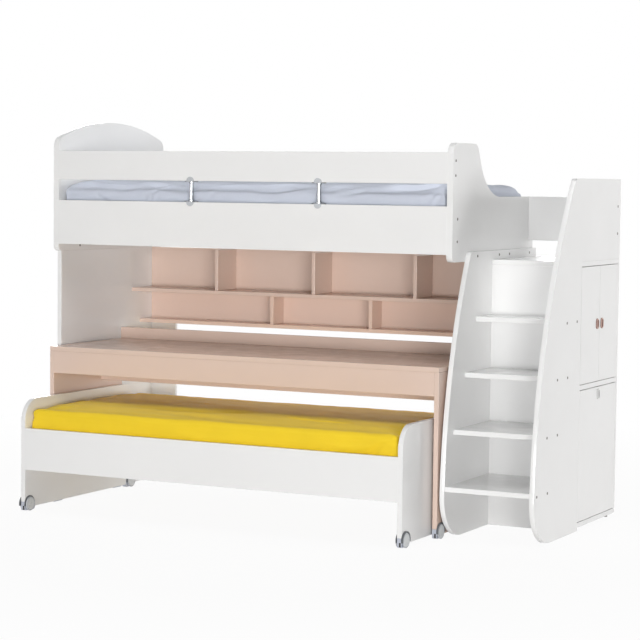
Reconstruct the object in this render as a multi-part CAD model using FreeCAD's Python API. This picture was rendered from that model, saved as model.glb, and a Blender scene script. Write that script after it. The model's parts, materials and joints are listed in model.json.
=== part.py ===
import FreeCAD, Part
import math
import os

# A raised child's bed with a shelf unit below it, a step cabinet at its foot,
# and a desk and a spare bed that roll out from under it.
# Millimetres. X runs from head to foot, Y from front to rear, Z up from the floor.
# Sizes are laid out from the head end's outer face, the rails' front face and the floor.

# Raised bed
BED_CLEAR_LENGTH = 2010.0
BED_CLEAR_WIDTH = 902.0
END_BOARD = 28.0
END_BOTTOM = 1193.0
END_CORNER = 28.0
HEAD_SHOULDER = 1722.0
HEAD_RISE = 90.0
HEAD_CORNER = 50.0
FOOT_TOP = 1709.0
FOOT_LOW_TOP = 1476.0
FOOT_FLAT = 235.0
FOOT_CORNER = 48.0
FOOT_CREST_RADIUS = 50.0
FOOT_SWEEP_RADIUS = 250.0
FOOT_SLOPE = math.radians(65.0)
RAIL_BOARD = 22.0
RAIL_BOTTOM = 1227.0
RAIL_HEIGHT = 208.0
GUARD_BOTTOM = 1532.0
GUARD_HEIGHT = 136.0

# Slats and mattresses
LEDGER = 30.0
SLAT_WIDTH = 70.0
SLAT_BOARD = 18.0
SLAT_PITCH = 142.0
SLAT_PLAY = 1.0
BED_LEDGER_LIFT = 72.0
SPARE_LEDGER_LIFT = 93.0
BED_MATTRESS_EDGE = 187.0
SPARE_MATTRESS_EDGE = 170.0
MATTRESS_CROWN = 32.0
MATTRESS_QUARTER_CROWN = 31.0
MATTRESS_ROUND = 38.0
MATTRESS_FOOT_ROUND = 16.0
MATTRESS_WAIST = 5.0
MATTRESS_QUARTER_RUN = 330.0
MATTRESS_RIM_DRAW = 12.0
MATTRESS_RIM_FALL = 52.0
MATTRESS_RIM_CROWN = 8.0
MATTRESS_STEP_RUN = 12.0
MATTRESS_STEP_DRAW = 6.0
MATTRESS_STEP_FALL = 26.0
MATTRESS_STEP_CROWN = 14.0
MATTRESS_BEND_RUN = 36.0
MATTRESS_BEND_DRAW = 1.5
MATTRESS_BEND_FALL = 8.0
MATTRESS_BEND_CROWN = 22.0
MATTRESS_SHOULDER_RUN = 80.0
MATTRESS_SHOULDER_CROWN = 28.0
MATTRESS_PLAY = 6.0
SOFT_GAP = 0.3

# Brackets between guard rail and side rail
BRACKET_ROD_RADIUS = 9.0
BRACKET_TAB_RADIUS = 22.0
BRACKET_PLATE_LENGTH = 86.0
BRACKET_PLATE_WIDTH = 20.0
BRACKET_SHEET = 3.0
BRACKET_FIRST = 725.0
BRACKET_PITCH = 659.0
BRACKETS = 2

# Leg panel and shelf unit at the head end
LEG_BOARD = 22.0
LEG_INSET = 24.0
SHELF_BOARD = 18.0
SHELF_BACK_INSET = 108.0
SHELF_BOTTOM = 814.0
SHELF_LOWER_BAY = 142.0
SHELF_LOWER_DEPTH = 113.0
SHELF_MIDDLE_DEPTH = 190.0
DIVIDER_SETBACK = 6.0
UPPER_DIVIDER_FIRST = 480.0
UPPER_DIVIDERS = 3
LOWER_DIVIDER_FIRST = 751.0
LOWER_DIVIDERS = 2
DIVIDER_PITCH = 538.0
STIFFENER_WIDTH = 144.0

# Rolling desk
DESK_GAP = 13.5
DESK_BOARD = 22.0
DESK_PULL = 89.0
DESK_DEPTH = 640.0
DESK_HEIGHT = 745.0
DESK_PANEL_DEPTH = 596.0
DESK_APRON = 104.0
DESK_UPSTAND = 55.0
DESK_RAIL_SETBACK = 406.0
DESK_RAIL_DROP = 168.0
DESK_RAIL_BOARD = 18.0

# Rolling spare bed
SPARE_GAP = 13.5
SPARE_BOARD = 22.0
SPARE_PULL = 371.0
SPARE_DEPTH = 940.0
SPARE_HEADROOM = 36.0
SPARE_CORNER = 100.0
SPARE_RAIL_DROP = 133.0
SPARE_RAIL_HEIGHT = 192.0

# Casters set into the lower corners of the rolling panels
PANEL_LIFT = 16.0
WHEEL_RADIUS = 32.0
WHEEL_WIDTH = 6.0
WHEEL_INSET = 34.0
AXLE_RADIUS = 4.0
AXLE_CLEARANCE = 0.05
HOUSING_LENGTH = 78.0
HOUSING_TOP = 44.0
HOUSING_BOTTOM = 7.0
FENDER_RADIUS = 37.0
FENDER_BOTTOM = 24.0
FENDER_SHEET = 2.5
WHEEL_GAP = 0.5

# Step cabinet
STEP_BOARD = 22.0
STEP_CLEAR_WIDTH = 390.0
STEP_REAR_INSET = 11.0
STEP_LEFT_TOP = 1236.0
STEP_RIGHT_TOP = 1561.0
STEP_TOP_CORNER = 30.0
SWEEP_RADIUS = 2636.0
SWEEP_BULGE = 98.0
SWEEP_LEVEL = 100.0
TOE_RADIUS = 190.0
TREAD_BOARD = 22.0
TREAD_FIRST_TOP = 233.0
TREAD_RISE = 239.0
TREAD_FRONTS = (-92.0, -9.0, 108.0, 221.0)
RISER_FRONT = 400.0
LANDING_TOP = 1196.0
LANDING_GUARD_INSET = 24.0
LANDING_GUARD_BOTTOM = 1272.0
LANDING_GUARD_HEIGHT = 204.0

# Cupboard and drawer behind the steps
CUPBOARD_BOARD = 22.0
CUPBOARD_REAR_BOARD = 16.0
CUPBOARD_MIDDLE_TOP = 649.0
CUPBOARD_LIFT = 14.0
GLIDE_RADIUS = 14.0
GLIDE_INSET = 32.0
DOOR_SIDE = 434.0
DOOR_BOARD = 18.0
DOOR_GAP = 2.5
HINGE_CUP_RADIUS = 17.4
HINGE_CUP_DEPTH = 11.0
HINGE_CUP_WALL = 1.5
HINGE_CUP_INSET = 22.5
HINGE_CUP_PLAY = 0.1
HINGE_FLANGE = 1.6
HINGE_FLANGE_WIDTH = 44.0
HINGE_FLANGE_HEIGHT = 56.0
HINGE_END = 95.0
HINGE_ARM_LENGTH = 60.0
HINGE_ARM_HEIGHT = 16.0
HINGE_ARM_DEPTH = 14.0
HINGE_TIP_LENGTH = 12.0
HINGE_PLATE = 3.0
HINGE_PLATE_HEIGHT = 44.0
HINGE_PLATE_LENGTH = 38.0
HINGE_TIP_GAP = 0.4
PULL_WIDTH = 30.0
PULL_HEIGHT = 48.0
PULL_PROUD = 5.0
PULL_RIM = 5.0
PULL_RECESS = 3.5
PULL_CHAMFER = 1.5
DOOR_PULL_INSET = 30.0
DOOR_PULL_LEVEL = 911.0
DRAWER_PULL_DROP = 33.0
DRAWER_BOARD = 12.0
DRAWER_BOTTOM_BOARD = 6.0
DRAWER_BOTTOM_RECESS = 10.0
DRAWER_LIFT = 24.0
DRAWER_HEIGHT = 320.0
DRAWER_DEPTH = 352.0
RUNNER_WIDTH = 12.7
RUNNER_HEIGHT = 45.0
RUNNER_SHEET = 1.5
RUNNER_PLAY = 0.6
RUNNER_SPACE = 14.0
RUNNER_LENGTH = 345.0
RUNNER_LIFT = 112.0

# Cover caps over the connecting bolts
CAP_RADIUS = 6.0
CAP_PROUD = 1.2
CAP_SIDES = 10
GUARD_CAP_INSET = 28.0
GUARD_CAP_EDGE = 36.0
RAIL_CAP_INSET = 54.0
RAIL_CAP_EDGE = 55.0
HEAD_CAP_INSET = 182.0
HEAD_CAP_LIFT = 23.0
STEP_CAP_DROP = 20.0
STEP_CAPS_FROM_FRONT = (232.0, 483.0)
STEP_CAPS_FROM_REAR = (331.0, 84.0)
TREAD_CAP_SETBACKS = (27.0, 52.0, 48.0, 41.0)
TREAD_CAP_SPACING = 124.0
TREAD_CAP_DROP = 15.0
LANDING_CAP_EDGE = 40.0

PICK_REACH = 0.01

# Places that follow from the sizes above
bed_depth = BED_CLEAR_WIDTH + 2 * RAIL_BOARD
head_inner = END_BOARD
foot_inner = head_inner + BED_CLEAR_LENGTH
foot_outer = foot_inner + END_BOARD
rail_top = RAIL_BOTTOM + RAIL_HEIGHT
step_inner = foot_outer + STEP_BOARD
side_inner = step_inner + STEP_CLEAR_WIDTH
side_outer = side_inner + STEP_BOARD
cabinet_rear = bed_depth - STEP_REAR_INSET
rear_board_front = cabinet_rear - CUPBOARD_REAR_BOARD
riser_back = RISER_FRONT + STEP_BOARD
shelf_back_front = bed_depth - SHELF_BACK_INSET
desk_left = head_inner + DESK_GAP
desk_right = foot_outer - DESK_GAP
desk_front = -DESK_PULL
spare_left = desk_left + DESK_BOARD + SPARE_GAP
spare_right = desk_right - DESK_BOARD - SPARE_GAP
spare_front = -SPARE_PULL
spare_height = DESK_HEIGHT - DESK_BOARD - DESK_RAIL_DROP - SPARE_HEADROOM
spare_rail_top = spare_height - SPARE_RAIL_DROP
spare_rail_bottom = spare_rail_top - SPARE_RAIL_HEIGHT
spare_rear = spare_front + SPARE_DEPTH
door_inner = side_outer - DOOR_BOARD
door_meeting = (DOOR_SIDE + rear_board_front) / 2
cupboard_bottom_top = CUPBOARD_LIFT + CUPBOARD_BOARD
cupboard_middle_bottom = CUPBOARD_MIDDLE_TOP - CUPBOARD_BOARD
landing_bottom = LANDING_TOP - CUPBOARD_BOARD
landing_guard_rear = cabinet_rear - LANDING_GUARD_INSET
landing_guard_front = landing_guard_rear - STEP_BOARD


def vector(x, y, z):
    return FreeCAD.Vector(x, y, z)


def board(x0, x1, y0, y1, z0, z1):
    return Part.makeBox(x1 - x0, y1 - y0, z1 - z0, vector(x0, y0, z0))


def rod_x(x0, x1, y, z, radius):
    return Part.makeCylinder(radius, x1 - x0, vector(x0, y, z), vector(1, 0, 0))


def line(a, b):
    return Part.makeLine(vector(0, *a), vector(0, *b))


def arc(a, middle, b):
    return Part.Arc(vector(0, *a), vector(0, *middle), vector(0, *b)).toShape()


def on_circle(centre, radius, angle):
    return (centre[0] + radius * math.cos(angle), centre[1] + radius * math.sin(angle))


def slab_x(edges, x0, x1):
    # An outline in the YZ plane carried from x0 to x1
    slab = Part.Face(Part.Wire(edges)).extrude(vector(x1 - x0, 0, 0))
    slab.translate(vector(x0, 0, 0))
    return slab


def round_corners(solid, corners, radius):
    # Rounds the edges along X that stand at the given (y, z) corners
    picked = []
    for edge in solid.Edges:
        ends = [vertex.Point for vertex in edge.Vertexes]
        for y, z in corners:
            reach = max(max(abs(p.y - y), abs(p.z - z)) for p in ends)
            if reach < PICK_REACH:
                picked.append(edge)
    return solid.makeFillet(radius, picked)


def group(solids):
    return Part.makeCompound(solids)


def headboard():
    low_front = (0.0, END_BOTTOM)
    low_rear = (bed_depth, END_BOTTOM)
    rear = (bed_depth, HEAD_SHOULDER)
    crest = (bed_depth / 2, HEAD_SHOULDER + HEAD_RISE)
    front = (0.0, HEAD_SHOULDER)
    edges = [line(low_front, low_rear), line(low_rear, rear), arc(rear, crest, front),
             line(front, low_front)]
    solid = slab_x(edges, 0.0, head_inner)
    solid = round_corners(solid, [low_front, low_rear], END_CORNER)
    return round_corners(solid, [front, rear], HEAD_CORNER)


def footboard():
    # High at the front, then an S-shaped drop to a low part where the steps arrive
    turn = 1 - math.cos(FOOT_SLOPE)
    crest = (FOOT_FLAT, FOOT_TOP - FOOT_CREST_RADIUS)
    crest_end = on_circle(crest, FOOT_CREST_RADIUS, math.pi / 2 - FOOT_SLOPE)
    crest_middle = on_circle(crest, FOOT_CREST_RADIUS, math.pi / 2 - FOOT_SLOPE / 2)
    sweep_start_z = FOOT_LOW_TOP + FOOT_SWEEP_RADIUS * turn
    sweep_start_y = crest_end[0] + (crest_end[1] - sweep_start_z) / math.tan(FOOT_SLOPE)
    sweep_start = (sweep_start_y, sweep_start_z)
    sweep_y = sweep_start_y + FOOT_SWEEP_RADIUS * math.sin(FOOT_SLOPE)
    sweep = (sweep_y, FOOT_LOW_TOP + FOOT_SWEEP_RADIUS)
    sweep_middle = on_circle(sweep, FOOT_SWEEP_RADIUS, -math.pi / 2 - FOOT_SLOPE / 2)
    sweep_end = (sweep[0], FOOT_LOW_TOP)
    low_front = (0.0, END_BOTTOM)
    low_rear = (bed_depth, END_BOTTOM)
    rear = (bed_depth, FOOT_LOW_TOP)
    front = (0.0, FOOT_TOP)
    flat_end = (FOOT_FLAT, FOOT_TOP)
    edges = [line(low_front, low_rear), line(low_rear, rear), line(rear, sweep_end),
             arc(sweep_end, sweep_middle, sweep_start), line(sweep_start, crest_end),
             arc(crest_end, crest_middle, flat_end), line(flat_end, front), line(front, low_front)]
    solid = slab_x(edges, foot_inner, foot_outer)
    solid = round_corners(solid, [low_front, low_rear, rear], END_CORNER)
    return round_corners(solid, [front], FOOT_CORNER)


def slats(x0, x1, y0, y1, z0):
    # As many slats as the pitch gives, spread evenly over the clear length
    count = int((x1 - x0 - SLAT_WIDTH) / SLAT_PITCH) + 1
    first = (x0 + x1 - (count - 1) * SLAT_PITCH - SLAT_WIDTH) / 2
    starts = [first + i * SLAT_PITCH for i in range(count)]
    return group([board(x, x + SLAT_WIDTH, y0, y1, z0, z0 + SLAT_BOARD) for x in starts])


def mattress_section(x, middle, half, z0, edge_top, crown):
    # One cross-section: flat below, rounded lower and upper edges, crowned top
    left = middle - half
    right = middle + half
    low = MATTRESS_FOOT_ROUND
    high = MATTRESS_ROUND
    diagonal = 1 - math.sqrt(0.5)
    points = [(left + low, z0), (right - low, z0), (right, z0 + low), (right, edge_top - high),
              (right - high, edge_top), (left + high, edge_top), (left, edge_top - high),
              (left, z0 + low)]
    edges = [line(points[0], points[1]),
             arc(points[1], (right - low * diagonal, z0 + low * diagonal), points[2]),
             line(points[2], points[3]),
             arc(points[3], (right - high * diagonal, edge_top - high * diagonal), points[4]),
             arc(points[4], (middle, edge_top + crown), points[5]),
             arc(points[5], (left + high * diagonal, edge_top - high * diagonal), points[6]),
             line(points[6], points[7]),
             arc(points[7], (left + low * diagonal, z0 + low * diagonal), points[0])]
    wire = Part.Wire(edges)
    wire.translate(vector(x, 0, 0))
    return wire


def mattress(x0, x1, y0, y1, z0, edge_height):
    # Sides pull in between the corners; ends draw in and fall towards their rim like a pillow
    middle = (y0 + y1) / 2
    half = (y1 - y0) / 2
    top = z0 + edge_height
    # Each station has its way in from the end, its draw, its fall and its crown
    ends = [(0.0, MATTRESS_RIM_DRAW, MATTRESS_RIM_FALL, MATTRESS_RIM_CROWN),
            (MATTRESS_STEP_RUN, MATTRESS_STEP_DRAW, MATTRESS_STEP_FALL, MATTRESS_STEP_CROWN),
            (MATTRESS_BEND_RUN, MATTRESS_BEND_DRAW, MATTRESS_BEND_FALL, MATTRESS_BEND_CROWN),
            (MATTRESS_SHOULDER_RUN, 0.0, 0.0, MATTRESS_SHOULDER_CROWN),
            (MATTRESS_QUARTER_RUN, MATTRESS_WAIST / 2, 0.0, MATTRESS_QUARTER_CROWN)]
    stations = [(x0 + end[0], *end[1:]) for end in ends]
    stations.append(((x0 + x1) / 2, MATTRESS_WAIST, 0.0, MATTRESS_CROWN))
    stations += [(x1 - end[0], *end[1:]) for end in reversed(ends)]
    wires = [mattress_section(x, middle, half - draw, z0, top - fall, crown)
             for x, draw, fall, crown in stations]
    return Part.makeLoft(wires, True, True)


def guard_brackets():
    # A rod between the rails, on a plate with a half-round tab over each rail's face
    solids = []
    middle = RAIL_BOARD / 2
    plate_low = middle - BRACKET_PLATE_WIDTH / 2
    for i in range(BRACKETS):
        x = head_inner + BRACKET_FIRST + i * BRACKET_PITCH
        rod_bottom = rail_top + BRACKET_SHEET
        rod_top = GUARD_BOTTOM - BRACKET_SHEET
        foot = vector(x, middle, rod_bottom)
        solids.append(Part.makeCylinder(BRACKET_ROD_RADIUS, rod_top - rod_bottom, foot))
        for edge, way in ((rail_top, 1), (GUARD_BOTTOM, -1)):
            z0 = min(edge, edge + way * BRACKET_SHEET)
            plate = board(x - BRACKET_PLATE_LENGTH / 2, x + BRACKET_PLATE_LENGTH / 2,
                          plate_low, middle + BRACKET_PLATE_WIDTH / 2, z0, z0 + BRACKET_SHEET)
            neck = board(x - BRACKET_TAB_RADIUS, x + BRACKET_TAB_RADIUS, -BRACKET_SHEET, plate_low,
                         z0, z0 + BRACKET_SHEET)
            tab = Part.makeCylinder(BRACKET_TAB_RADIUS, BRACKET_SHEET, vector(x, 0, edge),
                                    vector(0, -1, 0))
            keep_low = edge - BRACKET_TAB_RADIUS if way > 0 else edge
            keep = board(x - BRACKET_TAB_RADIUS, x + BRACKET_TAB_RADIUS, -BRACKET_SHEET, 0.0,
                         keep_low, keep_low + BRACKET_TAB_RADIUS)
            solids.append(plate.fuse(neck).fuse(tab.common(keep)).removeSplitter())
    return group(solids)


def raised_bed():
    nodes = {"headboard": headboard(), "footboard": footboard()}
    rear = bed_depth - RAIL_BOARD
    nodes["front_side_rail"] = board(head_inner, foot_inner, 0.0, RAIL_BOARD, RAIL_BOTTOM, rail_top)
    nodes["rear_side_rail"] = board(head_inner, foot_inner, rear, bed_depth, RAIL_BOTTOM, rail_top)
    nodes["front_guard_rail"] = board(head_inner, foot_inner, 0.0, RAIL_BOARD,
                                      GUARD_BOTTOM, GUARD_BOTTOM + GUARD_HEIGHT)
    nodes["guard_brackets"] = guard_brackets()
    ledger_top = RAIL_BOTTOM + BED_LEDGER_LIFT
    nodes["bed_slat_ledgers"] = group([
        board(head_inner, foot_inner, y, y + LEDGER, ledger_top - LEDGER, ledger_top)
        for y in (RAIL_BOARD, rear - LEDGER)])
    nodes["bed_slats"] = slats(head_inner, foot_inner, RAIL_BOARD + SLAT_PLAY, rear - SLAT_PLAY,
                               ledger_top)
    nodes["bed_mattress"] = mattress(head_inner + MATTRESS_PLAY, foot_inner - MATTRESS_PLAY,
                                     RAIL_BOARD + MATTRESS_PLAY, rear - MATTRESS_PLAY,
                                     ledger_top + SLAT_BOARD + SOFT_GAP, BED_MATTRESS_EDGE)
    return nodes


def dividers(first, count, front, z0, z1):
    starts = [head_inner + first + i * DIVIDER_PITCH for i in range(count)]
    return [board(x, x + SHELF_BOARD, front, shelf_back_front, z0, z1) for x in starts]


def shelf_unit():
    back_rear = shelf_back_front + SHELF_BOARD
    lower_top = SHELF_BOTTOM + SHELF_BOARD
    middle_bottom = lower_top + SHELF_LOWER_BAY
    middle_top = middle_bottom + SHELF_BOARD
    lower_front = shelf_back_front - SHELF_LOWER_DEPTH
    middle_front = shelf_back_front - SHELF_MIDDLE_DEPTH
    upper = dividers(UPPER_DIVIDER_FIRST, UPPER_DIVIDERS, middle_front + DIVIDER_SETBACK,
                     middle_top, END_BOTTOM)
    lower = dividers(LOWER_DIVIDER_FIRST, LOWER_DIVIDERS, lower_front + DIVIDER_SETBACK,
                     lower_top, middle_bottom)
    return {
        "leg_panel": board(head_inner - LEG_BOARD, head_inner, LEG_INSET, bed_depth - LEG_INSET,
                           0.0, END_BOTTOM),
        "rear_stiffener": board(head_inner, head_inner + STIFFENER_WIDTH, shelf_back_front, back_rear,
                                0.0, SHELF_BOTTOM),
        "shelf_back_panel": board(head_inner, foot_outer, shelf_back_front, back_rear,
                                  SHELF_BOTTOM, END_BOTTOM),
        "shelf_lower_board": board(head_inner, foot_outer, lower_front, shelf_back_front,
                                   SHELF_BOTTOM, lower_top),
        "shelf_middle_board": board(head_inner, foot_outer, middle_front, shelf_back_front,
                                    middle_bottom, middle_top),
        "shelf_dividers": group(upper + lower),
    }


def caster(x0, x1, y_end, way, faces):
    # Housing and wheel for the panel between x0 and x1 that ends at y_end; way points into the panel
    axle_y = y_end + way * WHEEL_INSET
    y0, y1 = sorted((y_end, y_end + way * HOUSING_LENGTH))
    housing = board(x0, x1, y0, y1, HOUSING_BOTTOM, HOUSING_TOP)
    notch = board(x0, x1, y0, y1, PANEL_LIFT, HOUSING_TOP)
    bore_ends = [x0, x1]
    axle_ends = [x0, x1]
    discs = []
    for face in faces:
        near = x1 if face > 0 else x0
        sheet = near + face * FENDER_SHEET
        disc_near = sheet + face * WHEEL_GAP
        disc_far = disc_near + face * WHEEL_WIDTH
        fender = rod_x(min(near, sheet), max(near, sheet), axle_y, WHEEL_RADIUS, FENDER_RADIUS)
        upper_half = board(min(near, sheet), max(near, sheet), axle_y - FENDER_RADIUS,
                           axle_y + FENDER_RADIUS, FENDER_BOTTOM, WHEEL_RADIUS + FENDER_RADIUS)
        housing = housing.fuse(fender.common(upper_half))
        discs.append(rod_x(min(disc_near, disc_far), max(disc_near, disc_far), axle_y, WHEEL_RADIUS,
                           WHEEL_RADIUS))
        bore_ends.append(sheet)
        axle_ends.append(disc_near)
    bore = rod_x(min(bore_ends), max(bore_ends), axle_y, WHEEL_RADIUS, AXLE_RADIUS + AXLE_CLEARANCE)
    axle = rod_x(min(axle_ends), max(axle_ends), axle_y, WHEEL_RADIUS, AXLE_RADIUS)
    return notch, housing.removeSplitter().cut(bore), discs + [axle]


def rolling_base(panels, y_front, y_rear, faces):
    # Cuts the caster notches and gives the panels, housings, front wheels and rear wheels
    housings = []
    wheels = {y_front: [], y_rear: []}
    notched = []
    for (panel, x0, x1), panel_faces in zip(panels, faces):
        for y_end, way in ((y_front, 1), (y_rear, -1)):
            notch, housing, wheel = caster(x0, x1, y_end, way, panel_faces)
            panel = panel.cut(notch)
            housings.append(housing)
            wheels[y_end] += wheel
        notched.append(panel)
    return notched, group(housings), group(wheels[y_front]), group(wheels[y_rear])


def desk():
    top_bottom = DESK_HEIGHT - DESK_BOARD
    rear = desk_front + DESK_DEPTH
    panel_rear = desk_front + DESK_PANEL_DEPTH
    left = (desk_left, desk_left + DESK_BOARD)
    right = (desk_right - DESK_BOARD, desk_right)
    panels = [(board(*span, desk_front, panel_rear, PANEL_LIFT, top_bottom), *span)
              for span in (left, right)]
    # Only the outer faces carry discs, so the spare bed's wheels can pass inside
    faces = ((-1,), (1,))
    sides, housings, front_wheels, rear_wheels = rolling_base(panels, desk_front, panel_rear, faces)
    rail_front = desk_front + DESK_RAIL_SETBACK
    return {
        "desk_top": board(desk_left, desk_right, desk_front, rear, top_bottom, DESK_HEIGHT),
        "desk_left_panel": sides[0],
        "desk_right_panel": sides[1],
        "desk_apron": board(left[1], right[0], desk_front, desk_front + DESK_BOARD,
                            top_bottom - DESK_APRON, top_bottom),
        "desk_upstand": board(desk_left, desk_right, rear - DESK_BOARD, rear,
                              DESK_HEIGHT, DESK_HEIGHT + DESK_UPSTAND),
        "desk_rear_rail": board(left[1], right[0], rail_front, rail_front + DESK_RAIL_BOARD,
                                top_bottom - DESK_RAIL_DROP, top_bottom),
        "desk_caster_housings": housings,
        "desk_front_wheels": front_wheels,
        "desk_rear_wheels": rear_wheels,
    }


def spare_bed():
    left = (spare_left, spare_left + SPARE_BOARD)
    right = (spare_right - SPARE_BOARD, spare_right)
    panels = []
    for span in (left, right):
        panel = board(*span, spare_front, spare_rear, PANEL_LIFT, spare_height)
        corners = [(spare_front, spare_height), (spare_rear, spare_height)]
        panels.append((round_corners(panel, corners, SPARE_CORNER), *span))
    faces = ((-1, 1), (-1, 1))
    sides, housings, front_wheels, rear_wheels = rolling_base(panels, spare_front, spare_rear, faces)
    clear = (left[1], right[0])
    inner_front = spare_front + SPARE_BOARD
    inner_rear = spare_rear - SPARE_BOARD
    rail = (spare_rail_bottom, spare_rail_top)
    ledger_top = spare_rail_bottom + SPARE_LEDGER_LIFT
    return {
        "spare_left_panel": sides[0],
        "spare_right_panel": sides[1],
        "spare_front_rail": board(*clear, spare_front, inner_front, *rail),
        "spare_rear_rail": board(*clear, inner_rear, spare_rear, *rail),
        "spare_slat_ledgers": group([board(*clear, y, y + LEDGER, ledger_top - LEDGER, ledger_top)
                                     for y in (inner_front, inner_rear - LEDGER)]),
        "spare_slats": slats(*clear, inner_front + SLAT_PLAY, inner_rear - SLAT_PLAY, ledger_top),
        "spare_mattress": mattress(clear[0] + MATTRESS_PLAY, clear[1] - MATTRESS_PLAY,
                                   inner_front + MATTRESS_PLAY, inner_rear - MATTRESS_PLAY,
                                   ledger_top + SLAT_BOARD + SOFT_GAP, SPARE_MATTRESS_EDGE),
        "spare_caster_housings": housings,
        "spare_front_wheels": front_wheels,
        "spare_rear_wheels": rear_wheels,
    }


def step_panel(x0, x1, top):
    # The front edge leans back on a long arc, then turns under on a toe arc tangent to it and the floor
    sweep = (SWEEP_RADIUS - SWEEP_BULGE, SWEEP_LEVEL)
    reach = SWEEP_RADIUS - TOE_RADIUS
    toe = (sweep[0] - math.sqrt(reach ** 2 - (TOE_RADIUS - SWEEP_LEVEL) ** 2), TOE_RADIUS)
    join_angle = math.atan2(toe[1] - sweep[1], toe[0] - sweep[0])
    top_angle = math.pi - math.asin((top - SWEEP_LEVEL) / SWEEP_RADIUS)
    join = on_circle(sweep, SWEEP_RADIUS, join_angle)
    top_front = on_circle(sweep, SWEEP_RADIUS, top_angle)
    sweep_middle = on_circle(sweep, SWEEP_RADIUS, (join_angle + top_angle) / 2)
    toe_middle = on_circle(toe, TOE_RADIUS, (join_angle + math.pi * 1.5) / 2)
    toe_end = (toe[0], 0.0)
    floor_rear = (cabinet_rear, 0.0)
    top_rear = (cabinet_rear, top)
    edges = [line(toe_end, floor_rear), line(floor_rear, top_rear), line(top_rear, top_front),
             arc(top_front, sweep_middle, join), arc(join, toe_middle, toe_end)]
    return round_corners(slab_x(edges, x0, x1), [top_front], STEP_TOP_CORNER)


def cupboard_shelf(front, z0, z1):
    # A board that ends flush with the doors and is notched round the side panel's edge
    shelf = board(step_inner, side_outer, front, rear_board_front, z0, z1)
    return shelf.cut(board(side_inner, side_outer, front, DOOR_SIDE, z0, z1))


def step_cabinet():
    opening = board(side_inner, side_outer, DOOR_SIDE, cabinet_rear, 0.0, LANDING_TOP)
    nodes = {
        "step_left_panel": step_panel(foot_outer, step_inner, STEP_LEFT_TOP),
        "step_right_panel": step_panel(side_inner, side_outer, STEP_RIGHT_TOP).cut(opening),
        "step_riser_board": board(step_inner, side_inner, RISER_FRONT, riser_back, 0.0, landing_bottom),
        "landing_board": cupboard_shelf(RISER_FRONT, landing_bottom, LANDING_TOP),
        "landing_guard_board": board(foot_outer, side_inner, landing_guard_front, landing_guard_rear,
                                     LANDING_GUARD_BOTTOM, LANDING_GUARD_BOTTOM + LANDING_GUARD_HEIGHT),
        "cupboard_middle_board": cupboard_shelf(riser_back, cupboard_middle_bottom, CUPBOARD_MIDDLE_TOP),
        "cupboard_bottom_board": cupboard_shelf(riser_back, CUPBOARD_LIFT, cupboard_bottom_top),
        "cupboard_rear_board": board(step_inner, side_outer, rear_board_front, cabinet_rear,
                                     CUPBOARD_LIFT, LANDING_TOP),
    }
    for i, front in enumerate(TREAD_FRONTS):
        top = TREAD_FIRST_TOP + i * TREAD_RISE
        nodes["tread_%d" % (i + 1)] = board(step_inner, side_inner, front, RISER_FRONT,
                                            top - TREAD_BOARD, top)
    glide_y = rear_board_front - GLIDE_INSET
    glide_places = [vector(x, glide_y, 0.0) for x in (step_inner + GLIDE_INSET, side_outer - GLIDE_INSET)]
    nodes["floor_glides"] = group([Part.makeCylinder(GLIDE_RADIUS, CUPBOARD_LIFT, place)
                                   for place in glide_places])
    return nodes


def oval_pull(y, z):
    # An upright oval pull with a dished middle, seated on the face at side_outer
    def oval(width, height, x0, x1):
        half = width / 2
        straight = (height - width) / 2
        corners = [(y - half, z - straight), (y + half, z - straight),
                   (y + half, z + straight), (y - half, z + straight)]
        edges = [arc(corners[0], (y, z - height / 2), corners[1]), line(corners[1], corners[2]),
                 arc(corners[2], (y, z + height / 2), corners[3]), line(corners[3], corners[0])]
        return slab_x(edges, x0, x1)
    front = side_outer + PULL_PROUD
    body = oval(PULL_WIDTH, PULL_HEIGHT, side_outer, front)
    rim = [edge for edge in body.Edges if abs(edge.BoundBox.XMin - front) < PICK_REACH]
    body = body.makeChamfer(PULL_CHAMFER, rim)
    dish = oval(PULL_WIDTH - 2 * PULL_RIM, PULL_HEIGHT - 2 * PULL_RIM, front - PULL_RECESS, front)
    return body.cut(dish)


def hinge_levels(z0, z1):
    return (z0 + HINGE_END, z1 - HINGE_END)


def hinge_cup(y, z):
    back = door_inner + HINGE_CUP_DEPTH
    cup = rod_x(door_inner, back, y, z, HINGE_CUP_RADIUS)
    flange = board(door_inner - HINGE_FLANGE, door_inner,
                   y - HINGE_FLANGE_WIDTH / 2, y + HINGE_FLANGE_WIDTH / 2,
                   z - HINGE_FLANGE_HEIGHT / 2, z + HINGE_FLANGE_HEIGHT / 2)
    hollow = rod_x(door_inner - HINGE_FLANGE, back - HINGE_CUP_WALL, y, z,
                   HINGE_CUP_RADIUS - HINGE_CUP_WALL)
    return cup.fuse(flange).cut(hollow)


def hinge_arm(wall, hinge_edge, way, cup_y, z):
    # Plate on the wall, arm towards the opening and a tip that ends just short of the cup's flange
    tip_end = door_inner - HINGE_FLANGE - HINGE_TIP_GAP
    arm_end = side_inner - HINGE_TIP_GAP
    arm_start = arm_end - HINGE_ARM_LENGTH
    plate_face = wall + way * HINGE_PLATE
    arm_face = plate_face + way * HINGE_ARM_DEPTH
    plate = board(arm_start, arm_start + HINGE_PLATE_LENGTH,
                  min(wall, plate_face), max(wall, plate_face),
                  z - HINGE_PLATE_HEIGHT / 2, z + HINGE_PLATE_HEIGHT / 2)
    arm = board(arm_start, arm_end, min(plate_face, arm_face), max(plate_face, arm_face),
                z - HINGE_ARM_HEIGHT / 2, z + HINGE_ARM_HEIGHT / 2)
    tip = board(tip_end - HINGE_TIP_LENGTH, tip_end, min(hinge_edge, cup_y), max(hinge_edge, cup_y),
                z - HINGE_ARM_HEIGHT / 2, z + HINGE_ARM_HEIGHT / 2)
    return plate.fuse(arm).fuse(tip).removeSplitter()


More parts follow.
